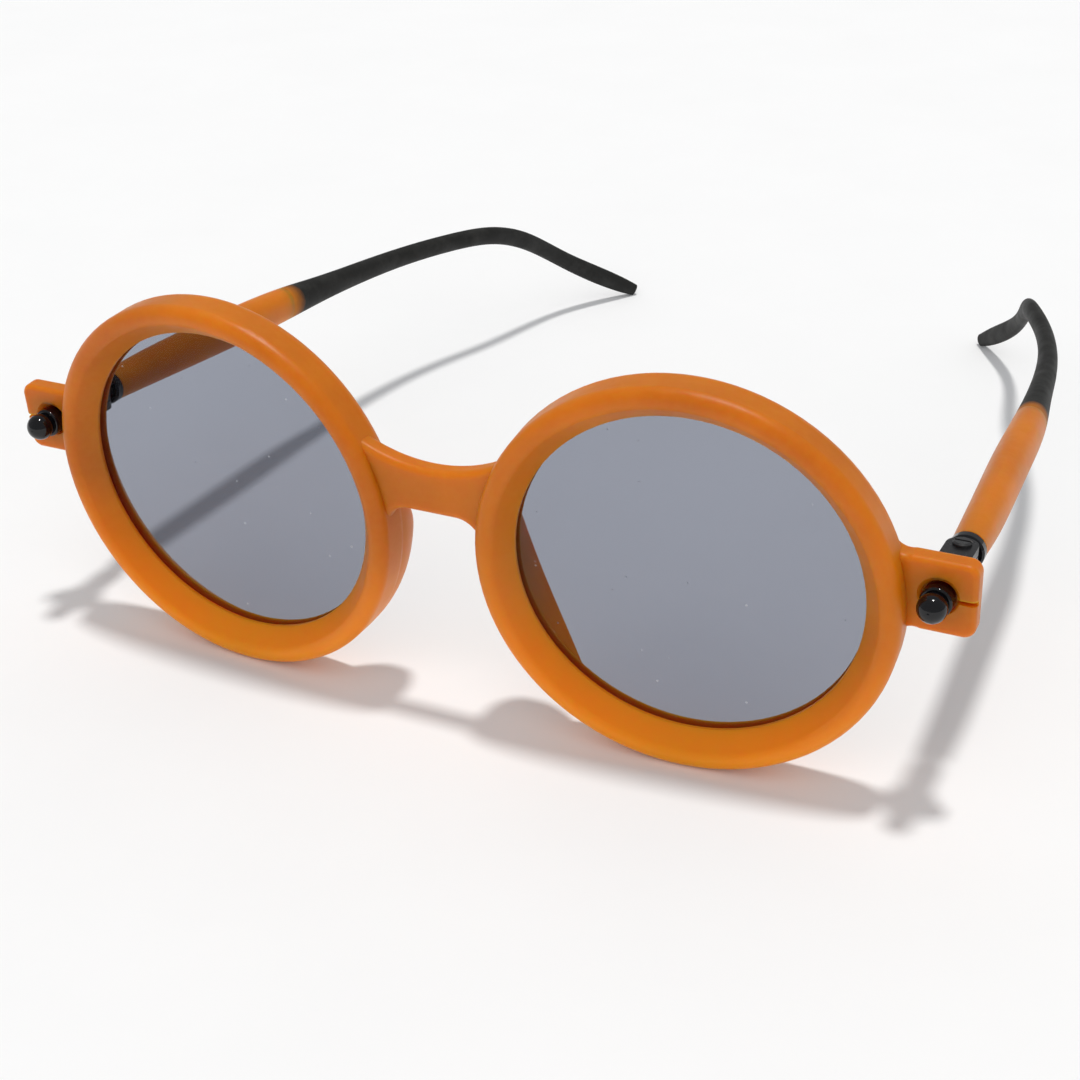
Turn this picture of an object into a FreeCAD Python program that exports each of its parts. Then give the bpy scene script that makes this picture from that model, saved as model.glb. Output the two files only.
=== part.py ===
"""Round sunglasses with a moulded front, ball-tipped hinge pins and two folding temples.

Millimetres. +X is the wearer's left, +Y runs back along the temples, +Z is up.
Each piece is drawn in the axes of the front: the origin lies midway between the two lens
centres, in the plane of the lens openings' front lip. At the end every piece is turned and
moved together, so that the glasses stand on both rims and both temple tips, with z = 0 on
the surface they stand on and the origin under the middle of their outline.
"""
import FreeCAD, Part
import math
import os

from FreeCAD import Placement, Rotation, Vector
import Sketcher

# Driving dimensions: alias, value in mm or degrees, what it is.
SIZES = [
    ("lens_offset", 32.7, "centre of each lens from the middle of the bridge"),
    ("wrap_angle", 3.78, "turn of each rim about the vertical, outer side back"),
    ("opening_radius", 22.0, "radius of the lens opening"),
    ("rim_width", 4.6, "rim from the opening to its outer wall"),
    ("rim_crest", 2.9, "front of the rim ahead of the opening's edge"),
    ("rim_front_round", 1.5, "rounding of the rim's front"),
    ("rim_bevel", 50.7, "slope of the rim's face from the opening forward, degrees"),
    ("rim_back_round", 1.8, "rounding of the rim's outer back edge"),
    ("rim_back", 3.2, "back face of the rim behind the lip plane"),
    ("rim_back_bevel", 1.3, "how far the opening widens towards the rim's back"),
    ("rim_wall", 0.2, "straight wall of the opening behind the groove"),
    ("groove_depth", 0.6, "depth of the lens groove"),
    ("groove_play", 0.05, "play of the lens in its groove"),
    ("lens_front", 0.5, "front of the lens at its edge, behind the lip plane"),
    ("lens_thickness", 1.1, "thickness of the lens"),
    ("lens_curve", 530.0, "radius of the lens surfaces"),
    ("pad_angle", 18.5, "middle of the nose pad below the level of the lens centre"),
    ("pad_sweep", 84.0, "angle of the rim that a nose pad runs along"),
    ("pad_depth", 7.0, "deepest point of the nose pad behind the lip plane"),
    ("pad_outline_radius", 17.3, "radius of the nose pad's outline, seen from the side"),
    ("pad_inset", 0.2, "inner wall of the nose pad outside the lens opening"),
    ("pad_edge_width", 1.5, "width of the nose pad along its back edge"),
    ("pad_round", 0.6, "rounding of the nose pad's back edges"),
    ("pad_root", 2.2, "where a pad's inner wall starts, behind the lip plane"),
    ("pad_shoulder", 1.6, "where a pad's outer wall leaves the rim, behind the lip plane"),
    ("pad_bulge", 0.8, "how far a pad's outer wall bulges between rim and back edge"),
    ("bridge_front", -3.0, "front of the bridge behind the lip plane"),
    ("bridge_depth", 2.8, "bridge, front to back"),
    ("bridge_top", 10.15, "top of the bridge at its middle, above the lens centres"),
    ("bridge_end", 10.5, "end of the bridge's top from the middle, buried in the rim"),
    ("bridge_shoulder", 13.1, "height of that end above the lens centres"),
    ("bridge_bottom", 3.8, "underside of the bridge at its middle"),
    ("arch_half_width", 6.5, "half the width of the nose arch at its narrowest"),
    ("arch_corner", 3.1, "corner radius of the nose arch"),
    ("arch_foot", 8.4, "end of the arch from the middle, buried in the rim"),
    ("arch_foot_up", -0.4, "height of that end above the lens centres"),
    ("bridge_round", 0.9, "rounding of the bridge's edges"),
    ("end_front", 2.0, "front of the end piece behind the lip plane"),
    ("end_depth", 2.7, "end piece, front to back"),
    ("end_outer", 67.2, "outer end of the end piece from the middle"),
    ("end_inner", 56.6, "inner end of the end piece, buried in the rim"),
    ("end_root", 57.2, "where the top of the end piece leaves the rim"),
    ("end_foot", 58.6, "where the underside of the end piece leaves the rim"),
    ("flare_rise", 0.6, "height of the curve between end piece and rim"),
    ("flare_run", 2.2, "length of that curve"),
    ("end_top", 8.1, "top of the end piece above the lens centres"),
    ("end_bottom", -1.65, "underside of the end piece"),
    ("end_corner", 1.5, "corner radius of the end piece"),
    ("end_round", 0.7, "rounding of the end piece's edges"),
    ("hinge_across", 62.75, "hinge axis and pin from the middle"),
    ("hinge_back", 12.0, "hinge axis behind the lip plane"),
    ("hinge_up", 2.45, "middle of the hinge above the lens centres"),
    ("pin_slope", 6.36, "slope of pin, hinge and temple against the front, down to the back"),
    ("pin_drop", 0.35, "pin below the middle of the hinge"),
    ("ball_radius", 1.8, "ball at the front end of the pin"),
    ("ball_reach", 12.6, "ball centre in front of the hinge axis"),
    ("neck_radius", 1.45, "neck between ball and collar"),
    ("collar_radius", 1.95, "collar of the pin"),
    ("collar_reach", 11.35, "front of the collar, in front of the hinge axis"),
    ("seat_reach", 9.15, "floor of the counterbore, in front of the hinge axis"),
    ("shank_radius", 0.8, "shank of the pin"),
    ("shank_end", 6.1, "back end of the shank, in front of the hinge axis"),
    ("seat_radius", 2.15, "counterbore that takes the collar"),
    ("seat_bevel", 0.3, "bevel round the counterbore"),
    ("slot_width", 0.65, "slot from the counterbore to the outer end"),
    ("slot_depth", 0.8, "depth of the slot from the end piece's face"),
    ("plate_width", 5.8, "front hinge plate, across"),
    ("plate_bottom", 0.2, "front hinge plate, lower edge"),
    ("plate_height", 5.7, "front hinge plate, height"),
    ("plate_depth", 1.7, "front hinge plate, thickness"),
    ("arm_setback", 0.8, "front of the hinge's arm behind the back of the end piece"),
    ("barrel_radius", 1.95, "hinge barrel"),
    ("barrel_half", 2.1, "half the height of the hinge barrel"),
    ("knuckle_half", 0.8, "half the height of the middle knuckle"),
    ("washer_thickness", 0.15, "hinge washer"),
    ("washer_radius", 1.6, "outer radius of the hinge washer"),
    ("hinge_play", 0.01, "play on each side of a washer"),
    ("swing_gap", 0.25, "room between the middle knuckle and the web behind it"),
    ("screw_radius", 0.7, "shank of the hinge screw"),
    ("screw_play", 0.04, "radial play round the hinge screw and the pin's shank"),
    ("screw_head_radius", 1.15, "head of the hinge screw"),
    ("screw_head_height", 0.5, "height of the screw's head"),
    ("screw_chamfer", 0.2, "chamfer round the screw's head"),
    ("screw_slot", 0.35, "width of the slot in the screw's head"),
    ("screw_slot_depth", 0.25, "depth of that slot"),
    ("ferrule_start", 2.05, "front of the ferrule behind the hinge axis"),
    ("ferrule_end", 3.55, "back of the ferrule behind the hinge axis"),
    ("ferrule_radius", 2.3, "outer radius of the ferrule"),
    ("ferrule_bore", 1.45, "bore of the ferrule"),
    ("ferrule_chamfer", 0.25, "chamfer round the ferrule"),
    ("neck_half_width", 1.1, "half the width of the temple hinge's neck"),
    ("neck_end", 3.2, "back end of the neck behind the hinge axis"),
    ("tang_radius", 0.9, "tang that anchors the hinge in the temple"),
    ("tang_end", 13.0, "back end of the tang behind the hinge axis"),
    ("spigot_radius", 0.95, "spigot of the temple inside its tip"),
    ("spigot_length", 9.0, "length of that spigot"),
    ("cutter_size", 60, "half the box that parts the temple from its tip"),
    ("socket_play", 0.03, "radial play of spigot and tang"),
]

# Stations of a temple, front to back: across, back, up, height, width of its oval section.
STATIONS = [
    (62.8, 15.6, 2.05, 4.5, 4.4),
    (62.7, 19.8, 1.62, 4.9, 4.7),
    (62.2, 30.6, 0.35, 5.6, 5.0),
    (61.4, 44.1, -1.35, 5.9, 5.1),
    (60.6, 58.0, -3.20, 5.4, 4.6),
    (59.6, 67.9, -4.50, 4.3, 3.7),
    (58.3, 79.0, -5.95, 3.6, 3.2),
    (56.1, 90.6, -7.40, 3.3, 2.8),
    (52.8, 101.1, -8.75, 3.2, 2.6),
    (49.8, 108.9, -10.20, 3.2, 2.5),
    (47.2, 117.8, -14.10, 3.2, 2.3),
    (43.5, 129.0, -22.50, 3.1, 2.1),
    (36.8, 139.2, -30.80, 3.0, 1.9),
    (34.7, 141.7, -32.80, 2.2, 1.3),
]
STATION_FIELDS = ("across", "back", "up", "height", "width")
JUNCTION = 4  # the station where the amber temple meets its black tip

doc = FreeCAD.newDocument("sunglasses")
sheet = doc.addObject("Spreadsheet::Sheet", "Sizes")


def fill_sheet():
    """Write each driving dimension into the sheet, one row each, under its alias."""
    rows = list(SIZES)
    for number, station in enumerate(STATIONS):
        for field, value in zip(STATION_FIELDS, station):
            rows.append((f"station{number}_{field}", value, f"temple station {number}, {field}"))
    for row, (alias, value, meaning) in enumerate(rows, start=1):
        sheet.set(f"A{row}", meaning)
        sheet.set(f"B{row}", str(value))
        sheet.setAlias(f"B{row}", alias)
    doc.recompute()


def linked(expression):
    """The expression with $name standing for the sheet's cell of that alias."""
    return str(expression).replace("$", "Sizes.")


def size(expression):
    """The number that an expression in the sheet's aliases gives."""
    result = sheet.evalExpression(linked(expression))
    return float(getattr(result, "Value", result))


def bind(item, **expressions):
    """Bind properties of a document object to expressions in the sheet's aliases."""
    for prop, expression in expressions.items():
        item.setExpression(prop, linked(expression))


# ---------------------------------------------------------------- sketches and features

def new_body(name):
    """An empty body for one solid."""
    return doc.addObject("PartDesign::Body", name)


def new_sketch(body, name, plane, offset=None):
    """A sketch on one of the body's own origin planes, moved by an attachment offset."""
    sketch = body.newObject("Sketcher::SketchObject", name)
    support = next(item for item in body.Origin.OriginFeatures if item.Role == plane)
    sketch.AttachmentSupport = [(support, "")]
    sketch.MapMode = "FlatFace"
    if offset is not None:
        sketch.AttachmentOffset = offset
    return sketch


def pin_vertex(sketch, geometry, vertex, across, along):
    """Hold a vertex at two coordinates given as expressions."""
    for kind, expression in (("DistanceX", across), ("DistanceY", along)):
        number = size(expression)
        if abs(number) < 1e-9:
            axis = -2 if kind == "DistanceX" else -1
            sketch.addConstraint(Sketcher.Constraint("PointOnObject", geometry, vertex, axis))
            continue
        index = sketch.addConstraint(
            Sketcher.Constraint(kind, -1, 1, geometry, vertex, number))
        sketch.setExpression(f"Constraints[{index}]", linked(expression))


def outline(sketch, start, *moves):
    """Draw a closed outline. A move is (x, y) for a line or (xm, ym, x, y) for an arc."""
    first = None
    previous = None
    here = start
    for move in moves:
        a = Vector(size(here[0]), size(here[1]), 0)
        there = move[-2:]
        b = Vector(size(there[0]), size(there[1]), 0)
        if len(move) == 2:
            geometry = sketch.addGeometry(Part.LineSegment(a, b), False)
            ends = (1, 2)
        else:
            middle = Vector(size(move[0]), size(move[1]), 0)
            anticlockwise = (middle - a).cross(b - middle).z > 0
            points, ends = ((a, b), (1, 2)) if anticlockwise else ((b, a), (2, 1))
            arc = Part.Arc(points[0], middle, points[1])
            geometry = sketch.addGeometry(arc, False)
            mark = sketch.addGeometry(Part.Point(middle), True)
            sketch.addConstraint(Sketcher.Constraint("PointOnObject", mark, 1, geometry))
            pin_vertex(sketch, mark, 1, move[0], move[1])
        if previous is None:
            first = (geometry, ends[0])
        else:
            sketch.addConstraint(Sketcher.Constraint("Coincident", *previous, geometry, ends[0]))
        previous = (geometry, ends[1])
        here = there
        if move is moves[-1]:
            sketch.addConstraint(Sketcher.Constraint("Coincident", *previous, *first))
        else:
            pin_vertex(sketch, geometry, ends[1], *there)
    pin_vertex(sketch, *first, *start)


def circle(sketch, across, along, radius):
    """Draw a circle with its centre and radius held by expressions."""
    centre = Vector(size(across), size(along), 0)
    ring = sketch.addGeometry(Part.Circle(centre, Vector(0, 0, 1), size(radius)), False)
    pin_vertex(sketch, ring, 3, across, along)
    index = sketch.addConstraint(Sketcher.Constraint("Radius", ring, size(radius)))
    sketch.setExpression(f"Constraints[{index}]", linked(radius))


def revolve(body, sketch, angle="360"):
    """Turn a sketch about its own vertical axis, half of the angle to each side."""
    feature = body.newObject("PartDesign::Revolution", sketch.Name + "_turned")
    feature.Profile = sketch
    feature.ReferenceAxis = (sketch, ["V_Axis"])
    feature.Midplane = True
    bind(feature, Angle=angle)
    doc.recompute()
    return feature


def pad(body, sketch, length, midplane=False):
    """Extrude a sketch."""
    feature = body.newObject("PartDesign::Pad", sketch.Name + "_padded")
    feature.Profile = sketch
    feature.Midplane = midplane
    bind(feature, Length=length)
    doc.recompute()
    return feature


def pocket(body, sketch, depth=None, through=False):
    """Cut a sketch out of the body, and check that it took material away."""
    before = body.Shape.Volume
    feature = body.newObject("PartDesign::Pocket", sketch.Name + "_cut")
    feature.Profile = sketch
    if through:
        feature.Type = "ThroughAll"
        feature.Midplane = True
    else:
        bind(feature, Length=depth)
    doc.recompute()
    if not body.Shape.Volume < before - 1e-6:
        raise RuntimeError(f"{sketch.Name} cut nothing")
    return feature


def fillet(body, base, radius, chosen):
    """Round those edges of the last feature that the test chooses."""
    names = [f"Edge{number}" for number, edge in enumerate(base.Shape.Edges, start=1)
             if chosen(edge)]
    feature = body.newObject("PartDesign::Fillet", base.Name + "_round")
    feature.Base = (base, names)
    bind(feature, Radius=radius)
    doc.recompute()
    return feature


def in_plane(coordinate, *values):
    """A test for edges that lie wholly in one of some planes across an axis."""
    def lies(edge):
        low = getattr(edge.BoundBox, coordinate + "Min")
        high = getattr(edge.BoundBox, coordinate + "Max")
        return any(abs(low - value) < 0.02 and abs(high - value) < 0.02 for value in values)
    return lies


# ---------------------------------------------------------------- primitives and booleans

def rod(name, radius, length, place):
    """A cylinder along its own +Z."""
    item = doc.addObject("Part::Cylinder", name)
    bind(item, Radius=radius, Height=length)
    item.Placement = place
    return item


def block(name, across, along, up, place):
    """A box from its own corner."""
    item = doc.addObject("Part::Box", name)
    bind(item, Length=across, Width=along, Height=up)
    item.Placement = place
    return item


def fuse(name, items):
    """One solid out of several."""
    item = doc.addObject("Part::MultiFuse", name)
    item.Shapes = items
    item.Refine = True
    return item


def cut(name, base, tool):
    """The base without the tool."""
    item = doc.addObject("Part::Cut", name)
    item.Base = base
    item.Tool = tool
    item.Refine = True
    return item


def common(name, base, tool):
    """What the base and the tool share."""
    item = doc.addObject("Part::Common", name)
    item.Base = base
    item.Tool = tool
    return item


def mirror(name, source):
    """The same piece on the other side of the glasses."""
    item = doc.addObject("Part::Mirroring", name)
    item.Source = source
    item.Base = Vector(0, 0, 0)
    item.Normal = Vector(1, 0, 0)
    return item


# ---------------------------------------------------------------- frames of reference

def rim_frame():
    """Axes of the left rim: x outward, y back along the lens axis, z up."""
    return Placement(Vector(size("$lens_offset"), 0, 0),
                     Rotation(Vector(0, 0, 1), size("$wrap_angle")))


def hinge_frame():
    """Axes of the left hinge: z up the screw, y back along pin and temple."""
    centre = Vector(size("$hinge_across"), size("$hinge_back"), size("$hinge_up"))
    return Placement(centre, Rotation(Vector(1, 0, 0), -size("$pin_slope")))


def shift(x=0.0, y=0.0, z=0.0):
    """A plain move."""
    return Placement(Vector(x, y, z), Rotation())


def pin_frame():
    """Axes of the left pin: those of the hinge, a little lower."""
    return hinge_frame().multiply(shift(z=-size("$pin_drop")))


# Turns that lay a cylinder's own axis along +Y.
ALONG_Y = Placement(Vector(0, 0, 0), Rotation(Vector(1, 0, 0), -90))


# ---------------------------------------------------------------- front frame

def rim():
    """Left rim: a rounded ring with a V groove for the lens, turned about the lens axis."""
    body = new_body("rim")
    sketch = new_sketch(body, "rim_section", "XY_Plane", rim_frame())
    outer = "($opening_radius + $rim_width)"
    front_centre = (f"({outer} - $rim_front_round)", "($rim_front_round - $rim_crest)")
    half_turn = "((90 + $rim_bevel) / 2 * 1deg)"
    arc_inset = "(1 - sqrt(0.5))"
    groove_front = "($lens_front - $groove_play)"
    groove_back = "($lens_front + $lens_thickness + $groove_play)"
    outline(
        sketch, ("$opening_radius", "0"),
        (f"{front_centre[0]} - $rim_front_round * sin($rim_bevel * 1deg)",
         f"{front_centre[1]} - $rim_front_round * cos($rim_bevel * 1deg)"),
        (f"{front_centre[0]} + $rim_front_round * cos{half_turn}",
         f"{front_centre[1]} - $rim_front_round * sin{half_turn}", outer, front_centre[1]),
        (outer, "$rim_back - $rim_back_round"),
        (f"{outer} - $rim_back_round * {arc_inset}",
         f"$rim_back - $rim_back_round * {arc_inset}",
         f"{outer} - $rim_back_round", "$rim_back"),
        ("$opening_radius + $rim_back_bevel", "$rim_back"),
        ("$opening_radius", f"{groove_back} + $rim_wall"),
        ("$opening_radius", groove_back),
        ("$opening_radius + $groove_depth", "$lens_front + $lens_thickness / 2"),
        ("$opening_radius", groove_front),
        ("$opening_radius", "0"))
    revolve(body, sketch)
    return body


def nose_pad():
    """Left nose pad: a crescent that grows back from the rim's nose side."""
    body = new_body("nose_pad")
    about_lens = Placement(Vector(0, 0, 0), Rotation(Vector(0, 1, 0), size("180 - $pad_angle")))
    radial = rim_frame().multiply(about_lens)
    section = new_sketch(body, "pad_section", "XY_Plane", radial)
    inner = "($opening_radius + $pad_inset)"
    outer = "($opening_radius + $rim_width)"
    outline(
        section, (inner, "$pad_root"),
        (inner, "$pad_depth + 1"),
        (f"{inner} + $pad_edge_width", "$pad_depth + 1"),
        (f"({inner} + $pad_edge_width + {outer}) / 2 + $pad_bulge",
         "($pad_depth + 1 + $pad_shoulder) / 2 + $pad_bulge / 2",
         f"{outer} - 0.1", "$pad_shoulder"),
        (inner, "$pad_root"))
    revolve(body, section, "$pad_sweep")
    across_pad = Placement(Vector(0, 0, 0), Rotation(Vector(0, 1, 0), 90))
    side = new_sketch(body, "pad_side_view", "XY_Plane", radial.multiply(across_pad))
    circle(side, "0", "$pad_depth - $pad_outline_radius", "$pad_outline_radius")
    circle(side, "0", "$pad_depth - $pad_outline_radius", "3 * $pad_outline_radius")
    trimmed = pocket(body, side, through=True)
    inverse = rim_frame().inverse()

    def back_edges(edge):
        return inverse.multVec(edge.CenterOfMass).y > size("$rim_back + 0.3")

    fillet(body, trimmed, "$pad_round", back_edges)
    return body


def bridge():
    """Saddle bridge, set back from the rims, with an arch for the nose under it."""
    body = new_body("bridge")
    sketch = new_sketch(body, "bridge_front_view", "XZ_Plane")
    sketch.setExpression(".AttachmentOffset.Base.z", linked("-$bridge_front"))
    flat = "($arch_half_width - $arch_corner)"
    spring = "($bridge_bottom - $arch_corner)"
    corner_inset = "$arch_corner * (1 - sqrt(0.5))"
    outline(
        sketch, ("-$bridge_end", "$bridge_shoulder"),
        ("0", "$bridge_top", "$bridge_end", "$bridge_shoulder"),
        ("$arch_foot", "$arch_foot_up"),
        ("$arch_half_width", spring),
        (f"$arch_half_width - {corner_inset}", f"$bridge_bottom - {corner_inset}",
         flat, "$bridge_bottom"),
        (f"-{flat}", "$bridge_bottom"),
        (f"{corner_inset} - $arch_half_width", f"$bridge_bottom - {corner_inset}",
         "-$arch_half_width", spring),
        ("-$arch_foot", "$arch_foot_up"),
        ("-$bridge_end", "$bridge_shoulder"))
    solid = pad(body, sketch, "$bridge_depth")
    solid.Reversed = True
    doc.recompute()
    faces = in_plane("Y", size("$bridge_front"), size("$bridge_front + $bridge_depth"))

    def exposed(edge):
        return faces(edge) and abs(edge.CenterOfMass.x) < size("$arch_half_width")

    fillet(body, solid, "$bridge_round", exposed)
    return body


def end_piece():
    """Left end piece: a rounded block that flares where it leaves the rim."""
    body = new_body("end_piece")
    sketch = new_sketch(body, "end_front_view", "XZ_Plane")
    sketch.setExpression(".AttachmentOffset.Base.z", linked("-$end_front"))
    inset = "$end_corner * (1 - sqrt(0.5))"
    outline(
        sketch, ("$end_inner", "$end_top + $flare_rise"),
        ("$end_root", "$end_top + $flare_rise"),
        ("$end_root + $flare_run / 4", "$end_top + $flare_rise / 4",
         "$end_root + $flare_run", "$end_top"),
        ("$end_outer - $end_corner", "$end_top"),
        (f"$end_outer - {inset}", f"$end_top - {inset}",
         "$end_outer", "$end_top - $end_corner"),
        ("$end_outer", "$end_bottom + $end_corner"),
        (f"$end_outer - {inset}", f"$end_bottom + {inset}",
         "$end_outer - $end_corner", "$end_bottom"),
        ("$end_foot + $flare_run", "$end_bottom"),
        ("$end_foot + $flare_run / 4", "$end_bottom - $flare_rise / 4",
         "$end_foot", "$end_bottom - $flare_rise"),
        ("$end_inner", "$end_bottom - $flare_rise"),
        ("$end_inner", "$end_top + $flare_rise"))
    solid = pad(body, sketch, "$end_depth")
    solid.Reversed = True
    doc.recompute()
    faces = in_plane("Y", size("$end_front"), size("$end_front + $end_depth"))

    def exposed(edge):
        return faces(edge) and edge.CenterOfMass.x > size("$end_root")

    fillet(body, solid, "$end_round", exposed)
    return body


def pin_seat():
    """What is cut out of the end piece: counterbore with bevel, shank hole and slot."""
    frame = pin_frame()
    face = size("$hinge_back - $end_front")
    at_seat = frame.multiply(shift(y=-size("$seat_reach"))).multiply(ALONG_Y)
    outward = at_seat.multiply(Placement(Vector(0, 0, 0), Rotation(Vector(1, 0, 0), 180)))
    seat = rod("seat", "$seat_radius", "$end_depth", outward)
    hole = rod("shank_hole", "$shank_radius + $screw_play", "2 * $end_depth",
               at_seat.multiply(shift(z=-1)))
    bevel = doc.addObject("Part::Cone", "bevel")
    bind(bevel, Radius1="$seat_radius", Radius2="$seat_radius + 2 * $seat_bevel",
         Height="2 * $seat_bevel")
    bevel_start = face - size("$seat_reach + $seat_bevel")
    bevel.Placement = outward.multiply(shift(z=bevel_start))
    slot = block("slot", "$end_outer", "$slot_depth + 2", "$slot_width",
                 Placement(Vector(size("$hinge_across"),
                                  size("$end_front - 2"),
                                  pin_height() - size("$slot_width") / 2), Rotation()))
    return fuse("pin_seat", [seat, hole, bevel, slot])


def pin_height():
    """Height of the pin's axis where it leaves the end piece's face."""
    return size("$hinge_up - $pin_drop + ($hinge_back - $end_front) * tan($pin_slope * 1deg)")


def front_frame():
    """Both rims, nose pads and end pieces with the bridge, as one moulding."""
    half = fuse("front_half", [rim(), nose_pad(), end_piece()])
    drilled = cut("drilled_half", half, pin_seat())
    other = mirror("other_half", drilled)
    return fuse("front_frame", [drilled, other, bridge()])


# ---------------------------------------------------------------- lens

def lens():
    """Left lens: a shallow meniscus with a bevelled edge that sits in the groove."""
    body = new_body("lens")
    sketch = new_sketch(body, "lens_section", "XY_Plane", rim_frame())
    edge = "($opening_radius - $groove_play)"
    rise = f"({edge} ^ 2 / (2 * $lens_curve))"
    back = "($lens_front + $lens_thickness)"
    outline(
        sketch, ("0", f"$lens_front - {rise}"),
        (f"{edge} / 2", f"$lens_front - {rise} * 0.75", edge, "$lens_front"),
        ("$opening_radius + $groove_depth - $groove_play",
         "$lens_front + $lens_thickness / 2"),
        (edge, back),
        (f"{edge} / 2", f"{back} - {rise} * 0.75", "0", f"{back} - {rise}"),
        ("0", f"$lens_front - {rise}"))
    revolve(body, sketch)
    return body


# ---------------------------------------------------------------- hinge

def ball_pin():
    """Left pin, turned in one piece: ball, neck, collar and a plain shank."""
    body = new_body("ball_pin")
    sketch = new_sketch(body, "pin_section", "XY_Plane")
    join = "sqrt($ball_radius ^ 2 - $neck_radius ^ 2)"
    collar_back = "-$seat_reach - $hinge_play"
    outline(
        sketch, ("0", "-$ball_reach - $ball_radius"),
        ("$ball_radius", "-$ball_reach", "$neck_radius", f"{join} - $ball_reach"),
        ("$neck_radius", "-$collar_reach"),
        ("$collar_radius - 0.35", "-$collar_reach"),
        ("$collar_radius - 0.1", "0.1 - $collar_reach",
         "$collar_radius", "0.35 - $collar_reach"),
        ("$collar_radius", collar_back),
        ("$shank_radius", collar_back),
        ("$shank_radius", "-$shank_end"),
        ("0", "-$shank_end"),
        ("0", "-$ball_reach - $ball_radius"))
    revolve(body, sketch)
    body.Placement = pin_frame()
    return body


def front_hinge():
    """Left bracket: a plate on the back of the end piece and an arm with two knuckles."""
    frame = hinge_frame()
    plate = block("plate", "$plate_width", "$plate_depth", "$plate_height",
                  shift(size("$hinge_across - $plate_width / 2"),
                        size("$end_front + $end_depth"), size("$plate_bottom")))
    arm_length = size("$hinge_back - $end_front - $end_depth - $arm_setback")
    arm = block("arm", "2 * $barrel_radius", str(arm_length), "2 * $barrel_half",
                frame.multiply(shift(-size("$barrel_radius"), -arm_length,
                                     -size("$barrel_half"))))
    barrel = rod("barrel", "$barrel_radius", "2 * $barrel_half",
                 frame.multiply(shift(z=-size("$barrel_half"))))
    body = fuse("bracket_form", [plate, arm, barrel])
    gap = "$knuckle_half + $washer_thickness + 2 * $hinge_play"
    room = rod("knuckle_room", "$barrel_radius + $swing_gap", f"2 * ({gap})",
               frame.multiply(shift(z=-size(gap))))
    bore = rod("screw_bore", "$screw_radius + $screw_play", "2 * $barrel_half + 2",
               frame.multiply(shift(z=-size("$barrel_half + 1"))))
    thread = rod("pin_thread", "$shank_radius + $screw_play", "$seat_reach - $shank_end + 0.1",
                 pin_frame().multiply(shift(y=-size("$seat_reach"))).multiply(ALONG_Y))
    return cut("front_hinge", body, fuse("bracket_bores", [room, bore, thread]))


def hinge_screw():
    """Left hinge screw: plain shank and a flat head with a straight slot."""
    body = new_body("hinge_screw")
    sketch = new_sketch(body, "screw_section", "XZ_Plane")
    outline(
        sketch, ("0", "-$barrel_half"),
        ("$screw_radius", "-$barrel_half"),
        ("$screw_radius", "$barrel_half + 0.01"),
        ("$screw_head_radius", "$barrel_half + 0.01"),
        ("$screw_head_radius", "$barrel_half + $screw_head_height - $screw_chamfer"),
        ("$screw_head_radius - $screw_chamfer", "$barrel_half + $screw_head_height"),
        ("0", "$barrel_half + $screw_head_height"),
        ("0", "-$barrel_half"))
    revolve(body, sketch)
    slot = new_sketch(body, "screw_slot", "XY_Plane")
    slot.setExpression(".AttachmentOffset.Base.z", linked("$barrel_half + $screw_head_height"))
    half = "$screw_slot / 2"
    outline(slot, ("-1.5", f"-{half}"), ("1.5", f"-{half}"), ("1.5", half), ("-1.5", half),
            ("-1.5", f"-{half}"))
    pocket(body, slot, "$screw_slot_depth")
    body.Placement = hinge_frame()
    return body


def washer(name, lower_face):
    """One washer between two knuckles."""
    ring = rod(name + "_disc", "$washer_radius", "$washer_thickness", Placement())
    hole = rod(name + "_hole", "$screw_radius + $screw_play", "1", shift(z=-0.5))
    item = cut(name, ring, hole)
    item.Placement = hinge_frame().multiply(shift(z=size(lower_face)))
    return item


def temple_hinge():
    """Left middle knuckle with a neck, and the tang that the temple is moulded round."""
    knuckle = rod("knuckle", "$barrel_radius", "2 * $knuckle_half",
                  shift(z=-size("$knuckle_half")))
    neck = block("neck", "2 * $neck_half_width", "$neck_end", "2 * $knuckle_half",
                 shift(-size("$neck_half_width"), 0, -size("$knuckle_half")))
    tang = rod("tang", "$tang_radius", "$tang_end - $ferrule_start",
               shift(y=size("$ferrule_start")).multiply(ALONG_Y))
    bore = rod("knuckle_bore", "$screw_radius + $screw_play", "4", shift(z=-2))
    keep = cut("temple_hinge", fuse("tang_form", [knuckle, neck, tang]), bore)
    keep.Placement = hinge_frame()
    return keep


def ferrule():
    """Left collar between the hinge and the temple's front end."""
    body = new_body("ferrule")
    sketch = new_sketch(body, "ferrule_section", "XY_Plane")
    outline(
        sketch, ("$ferrule_bore", "$ferrule_start"),
        ("$ferrule_radius - $ferrule_chamfer", "$ferrule_start"),
        ("$ferrule_radius", "$ferrule_start + $ferrule_chamfer"),
        ("$ferrule_radius", "$ferrule_end - $ferrule_chamfer"),
        ("$ferrule_radius - $ferrule_chamfer", "$ferrule_end"),
        ("$ferrule_bore", "$ferrule_end"),
        ("$ferrule_bore", "$ferrule_start"))
    revolve(body, sketch)
    body.Placement = hinge_frame()
    return body


# ---------------------------------------------------------------- temple

def station_point(number):
    """Centre of a temple station."""
    return Vector(*(size(f"$station{number}_{field}") for field in STATION_FIELDS[:3]))


def station_frame(number):
    """Axes of a station: x up across the section, z along the temple."""
    if number == 0:
        along = hinge_frame().Rotation.multVec(Vector(0, 1, 0))
    else:
        ahead = station_point(min(number + 1, len(STATIONS) - 1))
        along = (ahead - station_point(number - 1)).normalize()
    sideways = along.cross(Vector(0, 0, 1)).normalize()
    up = sideways.cross(along)
    return Placement(station_point(number), Rotation(up, sideways, along, "ZXY"))


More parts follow.
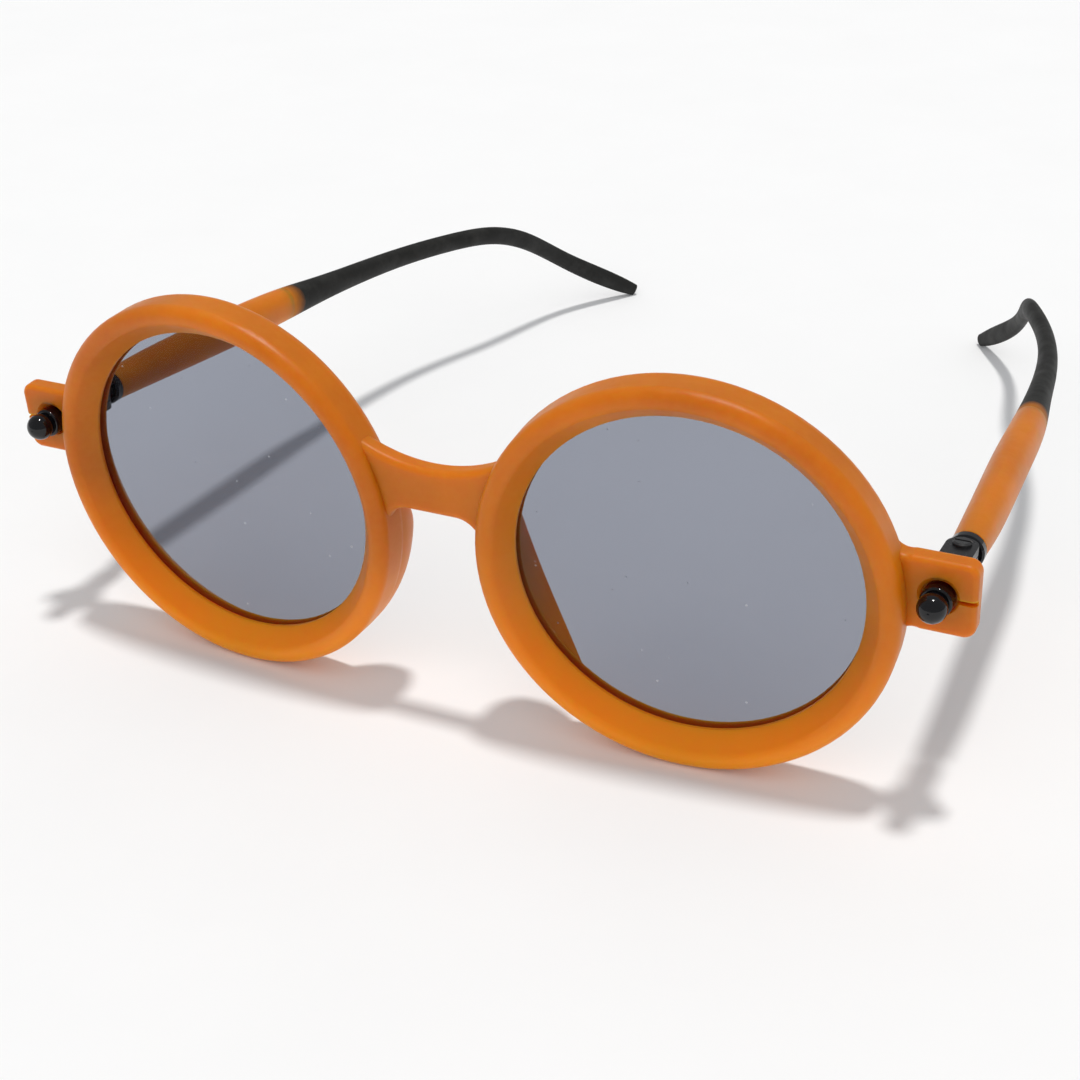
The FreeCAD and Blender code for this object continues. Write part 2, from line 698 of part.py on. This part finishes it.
def arm_form():
    """The whole outer form of the left temple and its tip, lofted through oval stations."""
    sections = []
    for number in range(len(STATIONS)):
        oval = doc.addObject("Part::Ellipse", f"oval{number}")
        bind(oval, MajorRadius=f"$station{number}_height / 2",
             MinorRadius=f"$station{number}_width / 2")
        oval.Placement = station_frame(number)
        sections.append(oval)
    form = doc.addObject("Part::Loft", "arm_form")
    form.Sections = sections
    form.Solid = True
    form.Ruled = False
    return form


def temple_and_tip():
    """Left temple with its spigot, and the black tip that slides over the spigot."""
    form = arm_form()
    joint = station_frame(JUNCTION)
    behind = block("behind_joint", "2 * $cutter_size", "2 * $cutter_size", "2 * $cutter_size",
                   joint.multiply(shift(-size("$cutter_size"), -size("$cutter_size"), 0)))
    spigot = rod("spigot", "$spigot_radius", "$spigot_length + 1", joint.multiply(shift(z=-1)))
    tang_room = rod("tang_room", "$tang_radius + $socket_play", "$tang_end + 0.1",
                    hinge_frame().multiply(ALONG_Y))
    amber = cut("amber_part", form, behind)
    temple = cut("temple", fuse("amber_with_spigot", [amber, spigot]), tang_room)
    socket = rod("socket", "$spigot_radius + $socket_play", "$spigot_length + 1.1",
                 joint.multiply(shift(z=-1)))
    tip = cut("temple_tip", common("black_part", form, behind), socket)
    return temple, tip


# ---------------------------------------------------------------- assembly

def rest_placement(front, tip):
    """The turn and move that stand the glasses on the rims and the temple tips."""
    turn = 0.0
    for _ in range(6):
        place = Placement(Vector(0, 0, 0), Rotation(Vector(1, 0, 0), turn))
        rim_low = lowest_point(front, place)
        tip_low = lowest_point(tip, place)
        slope = (rim_low.z - tip_low.z) / (tip_low.y - rim_low.y)
        turn += math.degrees(math.atan(slope))
    return Placement(Vector(0, 0, 0), Rotation(Vector(1, 0, 0), turn))


def lowest_point(shape, place):
    """The lowest point of a shape once placed."""
    turned = shape.copy()
    turned.Placement = place.multiply(turned.Placement)
    floor = Part.makePlane(600, 600, Vector(-300, -300, -200))
    return turned.distToShape(floor)[1][0][0]


def build():
    """Make every piece, check it, stand the glasses up and write one file per piece."""
    fill_sheet()
    doc.recompute()
    front = front_frame()
    temple, tip = temple_and_tip()
    gap_face = "$knuckle_half + $hinge_play"
    left = {
        "lens": lens(),
        "ball_pin": ball_pin(),
        "front_hinge": front_hinge(),
        "hinge_screw": hinge_screw(),
        "upper_washer": washer("upper_washer", gap_face),
        "lower_washer": washer("lower_washer", f"-({gap_face} + $washer_thickness)"),
        "temple_hinge": temple_hinge(),
        "ferrule": ferrule(),
        "temple": temple,
        "temple_tip": tip,
    }
    pieces = {"front_frame": front}
    for name, piece in left.items():
        piece.Label = "left_" + name
        pieces["left_" + name] = piece
        pieces["right_" + name] = mirror("right_" + name, piece)
    doc.recompute()

    turn = rest_placement(front.Shape, tip.Shape)
    turned = [piece.Shape.copy() for piece in pieces.values()]
    for shape in turned:
        shape.Placement = turn.multiply(shape.Placement)
    bounds = Part.makeCompound(turned).optimalBoundingBox(False)
    rest = Placement(Vector(0, -(bounds.YMin + bounds.YMax) / 2, -bounds.ZMin), turn.Rotation)
    for piece in [front] + list(left.values()):
        piece.Placement = rest.multiply(piece.Placement)
    doc.recompute()

    for item in doc.Objects:
        if "Invalid" in item.State or "Error" in item.State:
            raise RuntimeError(f"{item.Name} failed: {item.State}")
    os.makedirs("parts", exist_ok=True)
    for node, piece in pieces.items():
        piece.Label = node
        shape = piece.Shape
        if shape.isNull() or not shape.isValid() or len(shape.Solids) != 1:
            raise RuntimeError(f"{node} is not one valid solid")
        shape.exportStep(f"parts/{node}.step")
        print(f"{node}: {shape.Volume:.2f} mm3")
    hinge = rest.multiply(hinge_frame())
    print("rest turn", math.degrees(rest.Rotation.Angle), "move", rest.Base)
    print("hinge centre", hinge.Base, "axis", hinge.Rotation.multVec(Vector(0, 0, 1)))


build()
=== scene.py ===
"""Looks for the round sunglasses: materials, studio and camera.

Everything is in metres in the row frame: +X is the wearer's left, +Y runs back along the
open temples, +Z is up, and the glasses stand on z = 0.
"""

import math

import bpy
from mathutils import Euler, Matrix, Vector


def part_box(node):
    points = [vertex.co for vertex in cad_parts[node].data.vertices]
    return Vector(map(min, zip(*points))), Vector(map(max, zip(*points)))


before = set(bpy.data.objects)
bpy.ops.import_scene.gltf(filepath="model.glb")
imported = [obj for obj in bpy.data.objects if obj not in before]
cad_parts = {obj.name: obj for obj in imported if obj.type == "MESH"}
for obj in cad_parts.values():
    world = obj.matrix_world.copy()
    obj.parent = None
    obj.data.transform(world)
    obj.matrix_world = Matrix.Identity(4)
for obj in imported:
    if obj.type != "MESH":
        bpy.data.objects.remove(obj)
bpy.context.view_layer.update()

MM = 0.001
SIDES = ("left", "right")

# Camera, placed from the middle of the front frame.
CAMERA_OFFSET_MM = Vector((104.688, -184.043, 115.550))
CAMERA_TURN_DEG = (61.2416, 1.9264, 25.9010)
CAMERA_LENS_MM = 63.357
CAMERA_SHIFT = (0.0152, -0.0111)

# Studio.
FLOOR_SIZE = 6.0
FLOOR_COLOUR = (0.90, 0.905, 0.91)
SKY_COLOUR = (0.97, 0.98, 1.0)
SKY_STRENGTH = 0.40
KEY = {"strength": 1.70, "spread": 6.0, "tilt": (-2.0, 3.4), "colour": (1.0, 0.985, 0.96)}
FILL = {"strength": 0.85, "spread": 70.0, "tilt": (50.0, 20.0), "colour": (1.0, 1.0, 1.0)}

# Colours, linear. Amber: two tones that drift, its grain, and a painted glow low down, a lighter
# colour standing in for light gathering in it.
AMBER_DEEP = (0.46, 0.126, 0.002, 1)
AMBER_LIGHT = (0.61, 0.186, 0.003, 1)
# Painted glow: a lighter amber standing in for light shining through the lower rims.
AMBER_PAINTED_GLOW = (0.96, 0.292, 0.006, 1)
AMBER_GRAIN = (0.68, 0.30, 0.05, 1)
CHARCOAL = (0.010, 0.010, 0.009, 1)
CHARCOAL_LIGHT = (0.026, 0.026, 0.024, 1)
LACQUER = (0.002, 0.002, 0.003, 1)
LACQUER_SCUFF = (0.010, 0.010, 0.011, 1)
METAL_FLECK = (0.12, 0.12, 0.125, 1)
NYLON = (0.50, 0.49, 0.45, 1)
NYLON_LIGHT = (0.62, 0.61, 0.57, 1)
LENS_TINT = (0.575, 0.593, 0.642, 1)
LENS_TINT_LIGHT = (0.590, 0.608, 0.657, 1)
LENS_DARK = (0.02, 0.022, 0.03, 1)
DUST = (0.75, 0.77, 0.80, 1)

PAINTED_GLOW_BELOW = 24.0 * MM  # height under which the front's amber is painted lighter, a painted glow for light shining through it
JUNCTION_RAG = 0.6 * MM  # unevenness of the line between amber and charcoal
JUNCTION_START = 0.2 * MM  # from the tip's front end to the first charcoal
JUNCTION_END = 3.2 * MM  # from the tip's front end to full charcoal
STRAIGHT_ON_MIRROR = 0.04  # share of light that a lens reflects seen straight on


# ---------------------------------------------------------------- node helpers

class Tree:
    """A new material's node tree, with short calls to add and link nodes."""

    def __init__(self, name):
        self.material = bpy.data.materials.new(name)
        self.material.use_nodes = True
        self.nodes = self.material.node_tree.nodes
        self.nodes.clear()
        self.output = self.add("ShaderNodeOutputMaterial")
        self.place = self.add("ShaderNodeTexCoord").outputs["Object"]

    def add(self, kind, **settings):
        """Add a node. Settings name its properties; those with a capital name its sockets."""
        node = self.nodes.new(kind)
        for key, value in settings.items():
            if key[0].isupper():
                self.feed(node.inputs[key.replace("_", " ")], value)
            else:
                setattr(node, key, value)
        return node

    def feed(self, socket, value):
        """Link another node's output to a socket, or set the socket's own value."""
        if isinstance(value, bpy.types.NodeSocket):
            self.material.node_tree.links.new(value, socket)
        else:
            socket.default_value = value

    def noise(self, scale, detail=2.0, roughness=0.5, vector=None):
        """A noise pattern's value."""
        node = self.add("ShaderNodeTexNoise", Vector=vector or self.place, Scale=scale,
                        Detail=detail, Roughness=roughness)
        return node.outputs["Fac"]

    def spread(self, value, low, high, to_low, to_high):
        """Map a value from one range to another, held inside it."""
        node = self.add("ShaderNodeMapRange", Value=value)
        for socket, number in zip(node.inputs[1:5], (low, high, to_low, to_high)):
            self.feed(socket, number)
        return node.outputs[0]

    def blend(self, factor, first, second):
        """Mix two colours."""
        node = self.add("ShaderNodeMix", data_type="RGBA")
        for index, value in ((0, factor), (6, first), (7, second)):
            self.feed(node.inputs[index], value)
        return node.outputs[2]

    def bump(self, height, strength, distance, under=None):
        """A bump map, on top of another if one is given."""
        node = self.add("ShaderNodeBump", Strength=strength, Distance=distance, Height=height)
        if under is not None:
            self.feed(node.inputs["Normal"], under)
        return node.outputs["Normal"]

    def layer(self, factor, under, over):
        """A shader mixed from two others."""
        node = self.add("ShaderNodeMixShader")
        for index, value in enumerate((factor, under.outputs[0], over.outputs[0])):
            self.feed(node.inputs[index], value)
        return node

    def along(self, axis):
        """The piece's own coordinate along X, Y or Z."""
        return self.add("ShaderNodeSeparateXYZ", Vector=self.place).outputs[axis]

    def finish(self, shader):
        """End the tree with this shader."""
        self.feed(self.output.inputs["Surface"], shader)
        return self.material


# ---------------------------------------------------------------- materials

def amber_colour(tree):
    """Amber with slow drifts of tone and a fine dusty grain."""
    drift = tree.spread(tree.noise(38.0, 3.0, 0.55), 0.32, 0.68, 0.0, 1.0)
    grain = tree.spread(tree.noise(900.0, 2.0, 0.6), 0.35, 0.7, 0.0, 0.07)
    body = tree.blend(drift, AMBER_DEEP, AMBER_LIGHT)
    return tree.blend(grain, body, AMBER_GRAIN)


def amber_finish(tree):
    """Roughness and bump of the satin, blasted surface of the moulding."""
    rough = tree.spread(tree.noise(260.0, 4.0, 0.6), 0.3, 0.7, 0.34, 0.46)
    fine = tree.bump(tree.noise(5200.0, 2.0, 0.6), 0.10, 0.05 * MM)
    return rough, tree.bump(tree.noise(420.0, 3.0, 0.5), 0.12, 0.12 * MM, under=fine)


def amber(name, painted_glow_below=None):
    """Translucent satin amber moulding; below a given height its colour is painted lighter, a
    painted glow standing in for light gathering in it.
    """
    tree = Tree(name)
    rough, normal = amber_finish(tree)
    colour = amber_colour(tree)
    if painted_glow_below is not None:
        # Painted glow: the colour turns lighter towards the bottom, standing in for light shining
        # through the amber.
        painted_glow_share = tree.spread(tree.along("Z"), 0.0, painted_glow_below, 1.0, 0.0)
        colour = tree.blend(painted_glow_share, colour, AMBER_PAINTED_GLOW)
    shader = tree.add("ShaderNodeBsdfPrincipled", Base_Color=colour,
                      Roughness=rough, Normal=normal, IOR=1.5)
    shader.inputs["Specular IOR Level"].default_value = 0.27
    shader.inputs["Subsurface Weight"].default_value = 0.85
    shader.inputs["Subsurface Radius"].default_value = (1.0, 0.34, 0.06)
    shader.inputs["Subsurface Scale"].default_value = 6.0 * MM
    return tree.finish(shader.outputs[0])


def charcoal_tip(name, start):
    """Matte charcoal with a soft, slightly ragged start where it meets the amber."""
    tree = Tree(name)
    reach = tree.add("ShaderNodeMath", operation="ADD")
    tree.feed(reach.inputs[0], tree.along("Y"))
    tree.feed(reach.inputs[1], tree.spread(tree.noise(500.0, 3.0, 0.6), 0.0, 1.0,
                                           -JUNCTION_RAG, JUNCTION_RAG))
    cover = tree.spread(reach.outputs[0], start + JUNCTION_START, start + JUNCTION_END,
                        0.0, 1.0)
    wear = tree.spread(tree.noise(240.0, 4.0, 0.65), 0.45, 0.75, 0.0, 1.0)
    dark = tree.blend(wear, CHARCOAL, CHARCOAL_LIGHT)
    colour = tree.blend(cover, amber_colour(tree), dark)
    grain = tree.bump(tree.noise(3600.0, 3.0, 0.65), 0.22, 0.06 * MM)
    rough = tree.spread(tree.noise(300.0, 3.0, 0.6), 0.3, 0.7, 0.52, 0.68)
    shader = tree.add("ShaderNodeBsdfPrincipled", Base_Color=colour, Roughness=rough,
                      Normal=grain, IOR=1.5)
    shader.inputs["Specular IOR Level"].default_value = 0.25
    return tree.finish(shader.outputs[0])


def gloss_black(name):
    """Glossy black lacquer with faint orange peel and hairline scuffs."""
    tree = Tree(name)
    scuffs = tree.spread(tree.noise(1500.0, 5.0, 0.7), 0.55, 0.75, 0.0, 1.0)
    colour = tree.blend(scuffs, LACQUER, LACQUER_SCUFF)
    rough = tree.spread(scuffs, 0.0, 1.0, 0.07, 0.20)
    peel = tree.bump(tree.noise(700.0, 1.0, 0.4), 0.06, 0.05 * MM)
    shader = tree.add("ShaderNodeBsdfPrincipled", Base_Color=colour, Roughness=rough,
                      Normal=peel, IOR=1.45)
    return tree.finish(shader.outputs[0])


def satin_black(name, steel=0.0):
    """Blackened metal: satin, with worn brighter flecks."""
    tree = Tree(name)
    flecks = tree.spread(tree.noise(2200.0, 5.0, 0.7), 0.60, 0.72, 0.0, 1.0)
    colour = tree.blend(flecks, (0.012 + steel, 0.012 + steel, 0.013 + steel, 1),
                        METAL_FLECK)
    rough = tree.spread(tree.noise(900.0, 3.0, 0.6), 0.3, 0.7, 0.24, 0.40)
    normal = tree.bump(tree.noise(1800.0, 3.0, 0.6), 0.12, 0.04 * MM)
    shader = tree.add("ShaderNodeBsdfPrincipled", Base_Color=colour, Roughness=rough,
                      Normal=normal, IOR=1.6)
    shader.inputs["Metallic"].default_value = 0.35
    return tree.finish(shader.outputs[0])


def nylon(name):
    """Natural nylon of the washers."""
    tree = Tree(name)
    cloud = tree.spread(tree.noise(700.0, 3.0, 0.6), 0.3, 0.7, 0.0, 1.0)
    colour = tree.blend(cloud, NYLON, NYLON_LIGHT)
    rough = tree.spread(cloud, 0.0, 1.0, 0.38, 0.5)
    shader = tree.add("ShaderNodeBsdfPrincipled", Base_Color=colour, Roughness=rough)
    return tree.finish(shader.outputs[0])


def see_through(tree):
    """A clear tint that turns into a reflection at grazing angles."""
    cloud = tree.spread(tree.noise(24.0, 3.0, 0.5), 0.3, 0.7, 0.0, 1.0)
    tint = tree.blend(cloud, LENS_TINT, LENS_TINT_LIGHT)
    clear = tree.add("ShaderNodeBsdfTransparent", Color=tint)
    smudge = tree.spread(tree.noise(160.0, 4.0, 0.6), 0.45, 0.75, 0.03, 0.09)
    mirror = tree.add("ShaderNodeBsdfPrincipled", Roughness=smudge, IOR=1.5)
    mirror.inputs["Base Color"].default_value = LENS_DARK
    edge_on = tree.add("ShaderNodeLayerWeight", Blend=0.5)
    steep = tree.add("ShaderNodeMath", operation="POWER")
    tree.feed(steep.inputs[0], edge_on.outputs["Facing"])
    tree.feed(steep.inputs[1], 5.0)
    facing = tree.spread(steep.outputs[0], 0.0, 1.0, STRAIGHT_ON_MIRROR, 1.0)
    return tree.layer(facing, clear, mirror)


def dust_specks(tree):
    """Where specks of dust lie: the middles of a few cells of a fine pattern."""
    cells = tree.add("ShaderNodeTexVoronoi", Vector=tree.place, Scale=520.0, Randomness=1.0)
    near = tree.spread(cells.outputs["Distance"], 0.03, 0.10, 1.0, 0.0)
    shade = tree.add("ShaderNodeSeparateColor", Color=cells.outputs["Color"])
    chosen = tree.spread(shade.outputs[0], 0.78, 0.95, 0.0, 0.60)
    speck = tree.add("ShaderNodeMath", operation="MULTIPLY")
    tree.feed(speck.inputs[0], near)
    tree.feed(speck.inputs[1], chosen)
    return speck.outputs[0]


def tinted_lens(name):
    """Grey-blue lens with a few specks of dust."""
    tree = Tree(name)
    glass = see_through(tree)
    dust = tree.add("ShaderNodeBsdfDiffuse", Color=DUST)
    return tree.finish(tree.layer(dust_specks(tree), glass, dust).outputs[0])


def pale_floor(name):
    """Matte pale table with the faintest mottling."""
    tree = Tree(name)
    mottle = tree.spread(tree.noise(30.0, 4.0, 0.6), 0.3, 0.7, 0.0, 1.0)
    colour = tree.blend(mottle, (*FLOOR_COLOUR, 1), tuple(c * 0.985 for c in FLOOR_COLOUR) + (1,))
    shader = tree.add("ShaderNodeBsdfPrincipled", Base_Color=colour, Roughness=0.9)
    shader.inputs["Specular IOR Level"].default_value = 0.1
    return tree.finish(shader.outputs[0])


# ---------------------------------------------------------------- object

def dress(node, material):
    """Give a CAD node this material alone."""
    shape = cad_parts[node]
    shape.data.materials.clear()
    shape.data.materials.append(material)


def dress_all():
    """Every CAD node's material."""
    amber_front = amber("amber_front", painted_glow_below=PAINTED_GLOW_BELOW)
    amber_arm = amber("amber_temple")
    black_pin = gloss_black("black_pin")
    hinge = satin_black("black_hinge")
    screw = satin_black("blackened_screw", steel=0.02)
    dress("front_frame", amber_front)
    for side in SIDES:
        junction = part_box(f"{side}_temple_tip")[0][1]
        dress(f"{side}_lens", tinted_lens(f"{side}_tint"))
        dress(f"{side}_ball_pin", black_pin)
        dress(f"{side}_front_hinge", hinge)
        dress(f"{side}_temple_hinge", hinge)
        dress(f"{side}_hinge_screw", screw)
        dress(f"{side}_ferrule", black_pin)
        dress(f"{side}_upper_washer", nylon(f"{side}_upper_nylon"))
        dress(f"{side}_lower_washer", nylon(f"{side}_lower_nylon"))
        dress(f"{side}_temple", amber_arm)
        dress(f"{side}_temple_tip", charcoal_tip(f"{side}_charcoal", junction))


# ---------------------------------------------------------------- studio

def make_floor():
    """A wide pale floor at the height the glasses stand on."""
    bpy.ops.mesh.primitive_plane_add(size=FLOOR_SIZE, location=(0, 0, 0))
    floor = bpy.context.object
    floor.name = "floor"
    floor.data.materials.append(pale_floor("pale_floor"))


def make_sun(name, strength, spread, tilt, colour, mirrored=True):
    """A distant lamp, tilted from straight overhead to the front and aside.

    Unless mirrored, it leaves no image of itself in glossy surfaces.
    """
    sun = bpy.data.lights.new(name, "SUN")
    sun.energy = strength
    sun.angle = math.radians(spread)
    sun.color = colour
    item = bpy.data.objects.new(name, sun)
    item.rotation_euler = (math.radians(tilt[0]), math.radians(tilt[1]), 0)
    item.visible_glossy = mirrored
    bpy.context.collection.objects.link(item)


def make_studio():
    """Even surroundings, a small lamp overhead and a broad soft one from the front."""
    world = bpy.data.worlds.new("studio")
    world.use_nodes = True
    sky = world.node_tree.nodes["Background"]
    sky.inputs[0].default_value = (*SKY_COLOUR, 1)
    sky.inputs[1].default_value = SKY_STRENGTH
    bpy.context.scene.world = world
    make_floor()
    make_sun("key", **KEY)
    make_sun("fill", mirrored=False, **FILL)


def make_camera():
    """The camera, at its place from the middle of the front frame."""
    low, high = (Vector(corner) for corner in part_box("front_frame"))
    camera = bpy.data.cameras.new("camera")
    camera.lens = CAMERA_LENS_MM
    camera.sensor_width = 36.0
    camera.shift_x, camera.shift_y = CAMERA_SHIFT
    camera.clip_start = 0.01
    item = bpy.data.objects.new("camera", camera)
    item.location = (low + high) / 2 + CAMERA_OFFSET_MM * MM
    item.rotation_euler = Euler([math.radians(turn) for turn in CAMERA_TURN_DEG])
    bpy.context.collection.objects.link(item)
    bpy.context.scene.camera = item


dress_all()
make_studio()
make_camera()
bpy.context.scene.view_settings.view_transform = "Standard"
